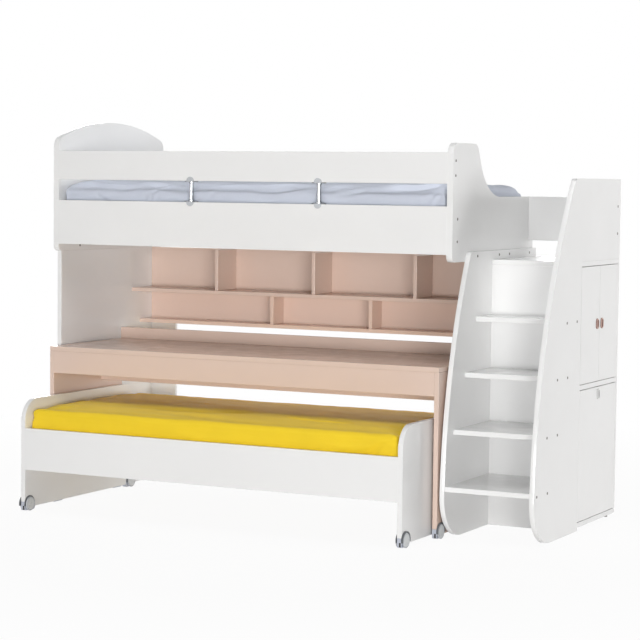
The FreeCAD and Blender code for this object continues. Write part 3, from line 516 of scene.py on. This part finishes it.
def lathe(profile, centre, way, steps):
    # every (distance, radius) of the profile is turned about the X axis through centre; way is its sign on X
    rows = np.array(profile, float)
    turn = np.linspace(0, 2 * math.pi, steps, endpoint=False)
    x = centre[0] + way * np.repeat(rows[:, :1], steps, 1)
    y = centre[1] + rows[:, 1:] * np.cos(turn)
    z = centre[2] + rows[:, 1:] * np.sin(turn)
    return skin(np.stack([x, y, z], -1))


def slab(ring, way):
    # a closed ring of points carried along way, with both ends filled
    ring = np.array(ring, float)
    middle = np.repeat(ring.mean(0, keepdims=True), len(ring), 0)
    way = np.array(way, float)
    return skin(np.array([middle, ring, ring + way, middle + way]))


def prism(outline, x0, x1):
    # a closed outline in Y and Z carried from x0 to x1
    return slab([(x0, y, z) for y, z in outline], (x1 - x0, 0, 0))


def coloured(shape, index):
    # the shape with one material for all its faces
    points, quads, _ = shape
    return points, quads, np.full(len(quads), index)


def joinShapes(name, shapes):
    # several (points, quads, material index) shapes in one mesh, with doubled points at the poles merged
    counts = np.cumsum([0] + [len(points) for points, _, _ in shapes])
    mesh = bpy.data.meshes.new(name)
    points = np.concatenate([points for points, _, _ in shapes])
    quads = np.concatenate([quads + start for (_, quads, _), start in zip(shapes, counts)])
    mesh.from_pydata(points.tolist(), [], quads.tolist())
    indices = np.concatenate([index for _, _, index in shapes]).astype(np.int32)
    mesh.polygons.foreach_set("material_index", indices)
    shell = bmesh.new()
    shell.from_mesh(mesh)
    bmesh.ops.remove_doubles(shell, verts=shell.verts, dist=pieceMesh["merge"])
    bmesh.ops.recalc_face_normals(shell, faces=shell.faces)
    shell.to_mesh(mesh)
    shell.free()
    mesh.polygons.foreach_set("use_smooth", np.ones(len(mesh.polygons), bool))
    return mesh


def placePiece(name, shapes, materials, body, node):
    # one rigid piece of several shapes, smooth between its sharp corners, in the place of a CAD node
    mesh = joinShapes(name, shapes)
    for material in materials:
        mesh.materials.append(material)
    piece = linkPiece(name, mesh, body)
    crease = piece.modifiers.new("crease", "EDGE_SPLIT")
    crease.split_angle = math.radians(pieceMesh["sharp"])
    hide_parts(node)


# mattresses under fitted sheets; foot, edge and crown are the heights where the rounded ends begin, of the
# long edges and of the crown over them; folds are (x, run, x, run, width, height) from the front left top
# corner, run counts up over the top and down the front
blueBed = {
    "node": "bed_mattress", "body": "bed_frame", "slot": "blue_sheet", "voxel": 0.015, "inset": 0.005,
    "pressure": 4.0, "cap": 0.008, "fill": 0.75, "seed": 11, "rumple": 0.0009,
    "foot": 0.055, "edge": 0.172, "crown": 0.041, "endRound": 0.034, "crownRun": 0.07,
    "folds": [(0.517, -0.012, 0.440, -0.068, 0.010, -0.004), (0.517, -0.010, 0.483, -0.066, 0.009, -0.005),
              (0.517, -0.008, 0.524, -0.066, 0.009, -0.005), (0.520, -0.010, 0.547, -0.066, 0.009, -0.004),
              (0.490, -0.006, 0.580, 0.050, 0.012, 0.006), (0.170, -0.026, 0.275, -0.072, 0.009, -0.005),
              (0.780, -0.060, 0.840, -0.012, 0.010, -0.004), (0.980, -0.045, 1.340, 0.012, 0.020, 0.009),
              (1.430, -0.028, 1.600, 0.012, 0.016, -0.006), (1.650, 0.020, 1.970, 0.110, 0.030, -0.009),
              (1.860, -0.070, 1.940, -0.006, 0.012, -0.005), (1.920, -0.075, 1.965, -0.015, 0.010, -0.005),
              (0.300, -0.040, 0.420, -0.014, 0.016, 0.003), (0.620, -0.056, 0.760, -0.020, 0.018, 0.004),
              (1.100, -0.070, 1.230, -0.040, 0.014, -0.003), (0.100, 0.020, 0.560, 0.110, 0.030, 0.006),
              (0.850, 0.040, 1.250, 0.120, 0.034, 0.006)],
}
yellowBed = {
    "node": "spare_mattress", "body": "spare_bed", "slot": "yellow_sheet", "voxel": 0.015, "inset": 0.005,
    "pressure": 4.0, "cap": 0.008, "fill": 0.75, "seed": 23, "rumple": 0.0005,
    "foot": 0.075, "edge": 0.171, "crown": 0.016, "endRound": 0.052, "crownRun": 0.2,
    "folds": [(1.190, 0.226, 1.610, 0.172, 0.009, 0.008), (1.500, -0.076, 1.830, -0.036, 0.012, -0.005),
              (1.600, -0.098, 1.800, -0.054, 0.011, -0.006), (1.240, -0.092, 1.670, -0.060, 0.014, 0.004),
              (1.680, -0.104, 1.860, -0.080, 0.010, 0.006), (1.700, 0.000, 1.860, -0.030, 0.016, 0.004),
              (0.420, -0.066, 0.700, -0.084, 0.014, -0.002), (0.700, -0.030, 1.150, -0.050, 0.024, 0.003),
              (0.300, 0.240, 1.100, 0.300, 0.050, -0.006)],
}
# how both covers are edged, filled and folded
sheetEdge = {
    "radius": 0.038, "power": 5.0, "play": 0.005, "endCrownRun": 0.03, "steps": 9, "sinkRun": 0.03,
    "soften": 0.5, "softenSteps": 2,
}
clothRun = {
    "quality": 5, "mass": 0.3, "tension": 18, "compression": 12, "bending": 0.6, "frames": 20, "held": 0.03,
}
foldShape = {
    "bow": 0.06, "fade": 0.25, "trough": 0.55, "troughPlace": 1.7, "troughWidth": 1.2,
    "start": 0.02, "startRun": 0.03, "drop": 0.03, "headroom": 0.012,
}
longWaves = {
    "count": 14, "pitch": (0.07, 0.24), "turn": (0.35, 0.5), "phase": (0, 6.28), "beat": 2.1, "beatGain": 3,
}


def sheetForm(low, high, spec):
    # closed form of the filled sheet: upright sides, rounded ends and a crown that rises from every edge
    def stations(start, end, run):
        reach = run * (1 - np.cos(np.linspace(0, math.pi / 2, sheetEdge["steps"])))
        return np.concatenate([start + reach, end - reach[::-1]])

    def swell(distance, run):
        return 1 - (1 - np.clip(distance / run, 0, 1)) ** 2

    rows = []
    across = stations(low.y, high.y, spec["crownRun"])
    fromSide = np.minimum(across - low.y, high.y - across)
    for x in stations(low.x, high.x, spec["endRound"]):
        fromEnd = min(x - low.x, high.x - x)
        height = spec["foot"] + (spec["edge"] - spec["foot"]) * math.sqrt(swell(fromEnd, spec["endRound"]))
        crown = spec["crown"] * swell(fromEnd, sheetEdge["endCrownRun"]) * swell(fromSide, spec["crownRun"])
        top = np.column_stack([np.full(len(across), x), across, low.z + height + crown])
        rows.append(np.vstack([(x, low.y, low.z), top, (x, high.y, low.z)]))
    rows = np.array(rows)
    ends = np.repeat(rows.mean(1, keepdims=True), rows.shape[1], 1)
    return coloured(skin(np.concatenate([ends[:1], rows, ends[-1:]])), 0)


def foldRelief(points, corner, spec):
    # each fold is a rounded ridge beside a shallow trough along a slightly bowed line, faded at its ends,
    # over a sum of long low waves whose crests cross at small angles
    along = points[:, 0] - corner[0]
    run = (points[:, 1] - corner[1]) + (points[:, 2] - corner[2])
    relief = np.zeros(len(points))
    for x0, r0, x1, r1, width, height in spec["folds"]:
        length = math.hypot(x1 - x0, r1 - r0)
        ux, ur = (x1 - x0) / length, (r1 - r0) / length
        t = ((along - x0) * ux + (run - r0) * ur) / length
        bow = foldShape["bow"] * length * np.sin(math.pi * np.clip(t, 0, 1))
        d = -(along - x0) * ur + (run - r0) * ux + bow
        fade = np.clip(t / foldShape["fade"], 0, 1) * np.clip((1 - t) / foldShape["fade"], 0, 1)
        fade = fade * fade * (3 - 2 * fade)
        beside = (d - foldShape["troughPlace"] * width) / (foldShape["troughWidth"] * width)
        relief += height * fade * (np.exp(-(d / width) ** 2) - foldShape["trough"] * np.exp(-beside ** 2))
    rng = np.random.default_rng(spec["seed"])
    pitches = rng.uniform(*longWaves["pitch"], longWaves["count"])
    turns = rng.normal(*longWaves["turn"], longWaves["count"])
    phases = rng.uniform(*longWaves["phase"], longWaves["count"])
    for pitch, turn, phase in zip(pitches, turns, phases):
        wave = (along * math.sin(turn) + run * math.cos(turn)) / pitch * 2 * math.pi
        beat = along * (longWaves["beat"] + longWaves["beatGain"] * pitch) + phase * 2
        relief += spec["rumple"] * np.sin(wave + phase) * np.sin(beat)
    return relief


def fillBox(points, low, high, spec):
    # the swollen cover is stretched back to the full length, width and crown height
    play = sheetEdge["play"]
    top = low.z + spec["edge"] + spec["crown"]
    for axis, start, end in ((0, low.x - play, high.x + play), (1, low.y, high.y), (2, low.z, top)):
        least = points[:, axis].min()
        most = points[:, axis].max()
        points[:, axis] = start + (points[:, axis] - least) * (end - start) / (most - least)
    return points


def squareEdges(points, low, high, spec):
    # the sheet is drawn tight over the long upper edges, which turns their round into a squarer one
    radius = sheetEdge["radius"]
    power = sheetEdge["power"]
    top = low.z + spec["edge"]
    for edge, way in ((low.y, 1), (high.y, -1)):
        back = 1 - way * (points[:, 1] - edge) / radius
        rise = 1 - (top - points[:, 2]) / radius
        turn = np.arctan2(np.maximum(rise, 1e-6), np.maximum(back, 1e-6))
        reach = (np.cos(turn) ** power + np.sin(turn) ** power) ** (-1 / power)
        blend = np.clip(2 * np.sin(2 * turn), 0, 1) * ((back > 0) & (rise > 0))
        grow = blend * np.maximum(reach / np.maximum(np.hypot(back, rise), 1e-6) - 1, 0)
        points[:, 1] -= way * radius * back * grow
        points[:, 2] += radius * rise * grow
    return points


def swellWithCloth(piece, spec, floorLevel):
    # pressure blows the cover out; the underside is held where it rests on the slats
    held = piece.vertex_groups.new(name="rest")
    points = readPoints(piece.data)
    low = np.nonzero(points[:, 2] < floorLevel + clothRun["held"])[0]
    held.add(low.tolist(), 1.0, "REPLACE")
    cloth = piece.modifiers.new("cover", "CLOTH")
    cloth.settings.quality = clothRun["quality"]
    cloth.settings.mass = clothRun["mass"]
    cloth.settings.tension_stiffness = clothRun["tension"]
    cloth.settings.compression_stiffness = clothRun["compression"]
    cloth.settings.bending_stiffness = clothRun["bending"]
    cloth.settings.use_pressure = True
    cloth.settings.uniform_pressure_force = spec["pressure"]
    cloth.settings.effector_weights.gravity = 0
    cloth.settings.vertex_group_mass = "rest"
    cloth.point_cache.frame_start = 1
    cloth.point_cache.frame_end = clothRun["frames"]
    for step in range(1, clothRun["frames"] + 1):
        scene.frame_set(step)
    swollen = piece.evaluated_get(bpy.context.evaluated_depsgraph_get())
    moved = readPoints(swollen.data) - points
    piece.modifiers.remove(cloth)
    scene.frame_set(1)
    reach = np.linalg.norm(moved, axis=1, keepdims=True)
    return points + moved * np.minimum(1, spec["cap"] / np.maximum(reach, 1e-9))


def bakeModifiers(piece):
    # the piece keeps the mesh that its modifiers make
    bpy.context.view_layer.update()
    mesh = bpy.data.meshes.new_from_object(piece.evaluated_get(bpy.context.evaluated_depsgraph_get()))
    piece.modifiers.clear()
    piece.data = mesh
    return mesh


def makeMattress(name, spec, material):
    low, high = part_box(spec["node"])
    piece = linkPiece(name, joinShapes(name, [sheetForm(low, high, spec)]), spec["body"])
    remesh = piece.modifiers.new("even", "REMESH")
    remesh.mode = "VOXEL"
    remesh.voxel_size = spec["voxel"]
    soften = piece.modifiers.new("soften", "SMOOTH")
    soften.factor = sheetEdge["soften"]
    soften.iterations = sheetEdge["softenSteps"]
    rounded = bakeModifiers(piece)
    points = readPoints(rounded) - spec["inset"] * readPoints(rounded, "vector")
    rounded.vertices.foreach_set("co", points.ravel())
    points = swellWithCloth(piece, spec, low.z)
    sink = np.clip(1 - (points[:, 2] - low.z - spec["inset"]) / sheetEdge["sinkRun"], 0, 1)
    points[:, 2] = points[:, 2] - spec["inset"] * sink  # back down onto the slats
    points = squareEdges(fillBox(points, low, high, spec), low, high, spec)
    rounded.vertices.foreach_set("co", points.ravel())
    fine = piece.modifiers.new("fine", "SUBSURF")
    fine.levels = 1
    fine.render_levels = 1
    cover = bakeModifiers(piece)
    points = readPoints(cover)
    above = np.clip((points[:, 2] - low.z - foldShape["start"]) / foldShape["startRun"], 0, 1)[:, None]
    relief = foldRelief(points, (low.x, low.y, high.z - foldShape["drop"]), spec)[:, None]
    points = points + above * relief * readPoints(cover, "vector")
    play = sheetEdge["play"]
    points = np.clip(points, np.array(low) - (play, 0, 0), np.array(high) + (play, 0, foldShape["headroom"]))
    cover.vertices.foreach_set("co", points.ravel())
    cover.polygons.foreach_set("use_smooth", np.ones(len(cover.polygons), bool))
    cover.name = name
    cover.materials.clear()
    cover.materials.append(material)
    cover.update()
    piece.vertex_groups.clear()
    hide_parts(spec["node"])
    print(name, "made:", len(cover.polygons), "faces")


makeMattress("blue_mattress", blueBed, blueSheet)
makeMattress("yellow_mattress", yellowBed, yellowSheet)


# caster wheels: a flat back, a rounded tread, a groove, a shallow dished face and a hub cap
casterWheel = {
    "stand": 0.003, "axle": 0.004, "axleInto": 0.001, "axleSteps": 32, "steps": 72, "treadRows": 8,
    "profile": [(0.0, 0.0), (0.0, 0.0312), (0.0006, 0.032), (0.0040, 0.032), (0.0050, 0.0315),
                (0.0057, 0.0303), (0.0060, 0.0288), (0.0060, 0.0268), (0.0053, 0.0262), (0.0050, 0.0250),
                (0.0054, 0.0240), (0.0057, 0.0222), (0.0052, 0.0160), (0.0051, 0.0118), (0.0046, 0.0110),
                (0.0047, 0.0100), (0.0056, 0.0088), (0.0060, 0.0068), (0.0060, 0.0)],
}


def makeWheels(name, node, body, faces):
    # a turned disc on each given face of each panel, and the axle rod that joins them through the panel
    spec = casterWheel
    low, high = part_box(node)
    centre = (low + high) / 2
    shapes = []
    for panel, ways in faces.items():
        panelLow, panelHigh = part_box(panel)
        sides = {-1: panelLow.x, 1: panelHigh.x}
        ends = dict(sides)
        for way in ways:
            start = sides[way] + way * spec["stand"]
            points, quads, row = lathe(spec["profile"], (start, centre.y, centre.z), way, spec["steps"])
            shapes.append((points, quads, (row < spec["treadRows"]).astype(int)))
            ends[way] = start + way * spec["axleInto"]
        length = ends[1] - ends[-1]
        rod = [(0, 0), (0, spec["axle"]), (length, spec["axle"]), (length, 0)]
        shapes.append(coloured(lathe(rod, (ends[-1], centre.y, centre.z), 1, spec["axleSteps"]), 2))
    placePiece(name, shapes, (wheelGrey, treadGrey, zincSteel), body, node)


deskFaces = {"desk_left_panel": (-1,), "desk_right_panel": (1,)}
spareFaces = {"spare_left_panel": (-1, 1), "spare_right_panel": (-1, 1)}
for end in ("front", "rear"):
    makeWheels("desk_%s_caster_wheels" % end, "desk_%s_wheels" % end, "desk_%s_axle" % end, deskFaces)
    makeWheels("spare_%s_caster_wheels" % end, "spare_%s_wheels" % end, "spare_%s_axle" % end, spareFaces)
print("caster wheels turned")


# caster housings: a pale block with a slot drawn as a dark patch of painted shade, and a dark fender with a
# raised rim over each wheel
casterHousing = {
    "length": 0.078, "bottom": 0.003, "top": 0.044, "corner": 0.009, "cornerSteps": 7, "inset": 0.034,
    "axle": 0.032, "plate": 0.0025, "bore": 0.0055, "rim": (0.0340, 0.0390), "rimSteps": 40, "skirt": 0.2,
    "reach": {"outer": 0.0085, "inner": 0.003},
    "slot": {"from": 0.46, "to": 0.84, "low": 0.006, "high": 0.025, "proud": 0.0004},
}


def housingOutline(end, way):
    # side view of the block: square above, round below
    spec = casterHousing
    corner = spec["corner"]
    far = end + way * spec["length"]
    outline = [(end, spec["top"])]
    for centre, start in ((end + way * corner, 0), (far - way * corner, 1)):
        turns = np.linspace(start * math.pi / 2, (start + 1) * math.pi / 2, spec["cornerSteps"])
        y = centre - way * corner * np.cos(turns)
        z = spec["bottom"] + corner * (1 - np.sin(turns))
        outline += list(zip(y, z))
    return np.array(outline + [(far, spec["top"])])


def fenderShapes(face, way, axleY, reach):
    # a plate against the panel with a hole round the axle, and the rim that stands out over the wheel
    spec = casterHousing
    inner, outer = spec["rim"]
    turns = np.linspace(-spec["skirt"], math.pi + spec["skirt"], spec["rimSteps"])
    shapes = []
    for near, far, small in ((0.0, spec["plate"], spec["bore"]), (0.0, reach, inner)):
        corners = np.array([(near, small), (far, small), (far, outer), (near, outer)])
        middle = np.repeat(corners.mean(0, keepdims=True), 4, 0)
        section = np.array([middle] + [corners] * len(turns) + [middle])
        angles = np.concatenate([turns[:1], turns, turns[-1:]])[:, None]
        x = face + way * section[:, :, 0]
        y = axleY + section[:, :, 1] * np.cos(angles)
        z = spec["axle"] + section[:, :, 1] * np.sin(angles)
        shapes.append(coloured(skin(np.stack([x, y, z], -1)), 1))
    return shapes


def makeHousings(name, node, body, faces):
    # a block at both ends of each panel's foot, the slot in its end face drawn as a dark patch of painted
    # shade, and a fender on each wheel side
    spec = casterHousing
    slot = spec["slot"]
    shapes = []
    for panel, ways in faces.items():
        low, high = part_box(panel)
        width = high.x - low.x
        for end, way in ((low.y, 1), (high.y, -1)):
            shapes.append(coloured(prism(housingOutline(end, way), low.x, high.x), 0))
            y0 = end - way * slot["proud"]
            y1 = end + way * spec["corner"]
            outline = [(y0, slot["low"]), (y1, slot["low"]), (y1, slot["high"]), (y0, slot["high"])]
            x0 = low.x + slot["from"] * width
            x1 = low.x + slot["to"] * width
            shapes.append(coloured(prism(outline, x0, x1), 2))
            for side in ways:
                face = high.x if side > 0 else low.x
                reach = spec["reach"]["outer" if side * face > 0 else "inner"]
                shapes += fenderShapes(face, side, end + way * spec["inset"], reach)
    placePiece(name, shapes, (casterGrey, fenderGreyAndPadShade, slotShade), body, node)


makeHousings("desk_caster_blocks", "desk_caster_housings", "desk", deskFaces)
makeHousings("spare_caster_blocks", "spare_caster_housings", "spare_bed", spareFaces)
print("caster housings shaped")


# guard brackets: a bright rod with collars between two pads painted dark grey as shade against the rails, and
# a satin half-round tab on each rail
guardBracket = {
    "rod": 0.0095, "collar": 0.0125, "collarHeight": 0.006, "taper": 0.002, "plate": 0.043, "steps": 48,
    "pad": 0.035, "padHalf": 0.0106, "padSteps": 9, "sheet": 0.0038, "tab": 0.019, "tabThick": 0.003,
    "screw": 0.0045, "screwDrop": 0.45, "screwProud": 0.0012,
}


def bracketRod(x, y, bottom, top):
    # the upright rod, a profile of (radius, height) turned about its own line
    spec = guardBracket
    low = bottom + spec["sheet"]
    high = top - spec["sheet"]
    collar = spec["collarHeight"]
    profile = [(0.0, low), (spec["collar"], low), (spec["collar"], low + collar),
               (spec["rod"], low + collar + spec["taper"]), (spec["rod"], high - collar - spec["taper"]),
               (spec["collar"], high - collar), (spec["collar"], high), (0.0, high)]
    turn = np.linspace(0, 2 * math.pi, spec["steps"], endpoint=False)
    rows = [np.column_stack([x + r * np.cos(turn), y + r * np.sin(turn), np.full(len(turn), z)])
            for r, z in profile]
    return skin(np.array(rows))


def bracketPad(x, y, edge, way):
    # the flat pad with round ends that the rod stands on
    spec = guardBracket
    corner = spec["padHalf"]
    reach = spec["pad"] - corner
    ends = np.linspace(-math.pi / 2, math.pi / 2, spec["padSteps"])
    ring = [(x + reach + corner * math.cos(a), y + corner * math.sin(a), edge) for a in ends]
    ring += [(x - reach - corner * math.cos(a), y - corner * math.sin(a), edge) for a in ends]
    return slab(ring, (0, 0, way * spec["sheet"]))


def bracketTab(x, face, edge, way):
    # the tab's neck over the rail's edge, the half-round tab on its front and the screw in it
    spec = guardBracket
    tab = spec["tab"]
    thick = spec["tabThick"]
    neck = [(x - tab, face - thick, edge), (x + tab, face - thick, edge),
            (x + tab, face, edge), (x - tab, face, edge)]
    half = np.linspace(0, math.pi, spec["steps"] // 2)
    plate = [(x + tab * math.cos(a), face, edge - way * tab * math.sin(a)) for a in half]
    turn = np.linspace(0, 2 * math.pi, spec["steps"], endpoint=False)
    centre = np.array((x, face - thick, edge - way * tab * spec["screwDrop"]))
    screw = [centre + spec["screw"] * np.array((math.cos(a), 0, math.sin(a))) for a in turn]
    proud = spec["screwProud"]
    return [slab(neck, (0, 0, way * thick)), slab(plate, (0, -thick, 0)), slab(screw, (0, -proud, 0))]


def makeBrackets():
    low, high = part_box("guard_brackets")
    railLow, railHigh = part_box("front_side_rail")
    y = (railLow.y + railHigh.y) / 2
    bottom = railHigh.z
    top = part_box("front_guard_rail")[0].z
    shapes = []
    for x in (low.x + guardBracket["plate"], high.x - guardBracket["plate"]):
        shapes.append(coloured(bracketRod(x, y, bottom, top), 0))
        for edge, way in ((bottom, 1), (top, -1)):
            # the pad is painted dark grey as the shade between the bracket and the rail
            shapes.append(coloured(bracketPad(x, y, edge, way), 2))
            shapes += [coloured(shape, 1) for shape in bracketTab(x, railLow.y, edge, way)]
    materials = (brightSteel, satinSteel, fenderGreyAndPadShade)
    placePiece("guard_bracket_pair", shapes, materials, "bed_frame", "guard_brackets")
    print("guard brackets bent")


makeBrackets()


# bolt caps: a low dome with a small sunk middle
boltCap = {
    "steps": 28, "merge": 0.00001,
    "profile": [(0.0, 0.0), (0.0, 0.006), (0.0006, 0.006), (0.0010, 0.0054), (0.0012, 0.0044),
                (0.0012, 0.0030), (0.0008, 0.0025), (0.0008, 0.0)],
}


def findIslands(mesh):
    # lowest and highest corner of every separate shell
    shell = bmesh.new()
    shell.from_mesh(mesh)
    bmesh.ops.remove_doubles(shell, verts=shell.verts, dist=boltCap["merge"])
    left = set(shell.verts)
    boxes = []
    while left:
        waiting = [left.pop()]
        found = []
        while waiting:
            vert = waiting.pop()
            found.append(vert.co[:])
            for edge in vert.link_edges:
                other = edge.other_vert(vert)
                if other in left:
                    left.remove(other)
                    waiting.append(other)
        boxes.append((np.min(found, 0), np.max(found, 0)))
    shell.free()
    return sorted(boxes, key=lambda box: tuple(np.round(box[0], 5)))


def makeCaps():
    # a turned cap in the place of every solid, facing out from the panel it sits on
    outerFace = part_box("headboard")[0].x
    shapes = []
    for low, high in findIslands(nodes["bolt_cover_caps"].data):
        way = -1 if (low[0] + high[0]) / 2 < outerFace else 1
        centre = (low + high) / 2
        centre[0] = low[0] if way > 0 else high[0]
        shapes.append(coloured(lathe(boltCap["profile"], centre, way, boltCap["steps"]), 0))
    placePiece("round_bolt_caps", shapes, (capDark,), "bed_frame", "bolt_cover_caps")
    print("bolt caps turned:", len(shapes))


makeCaps()
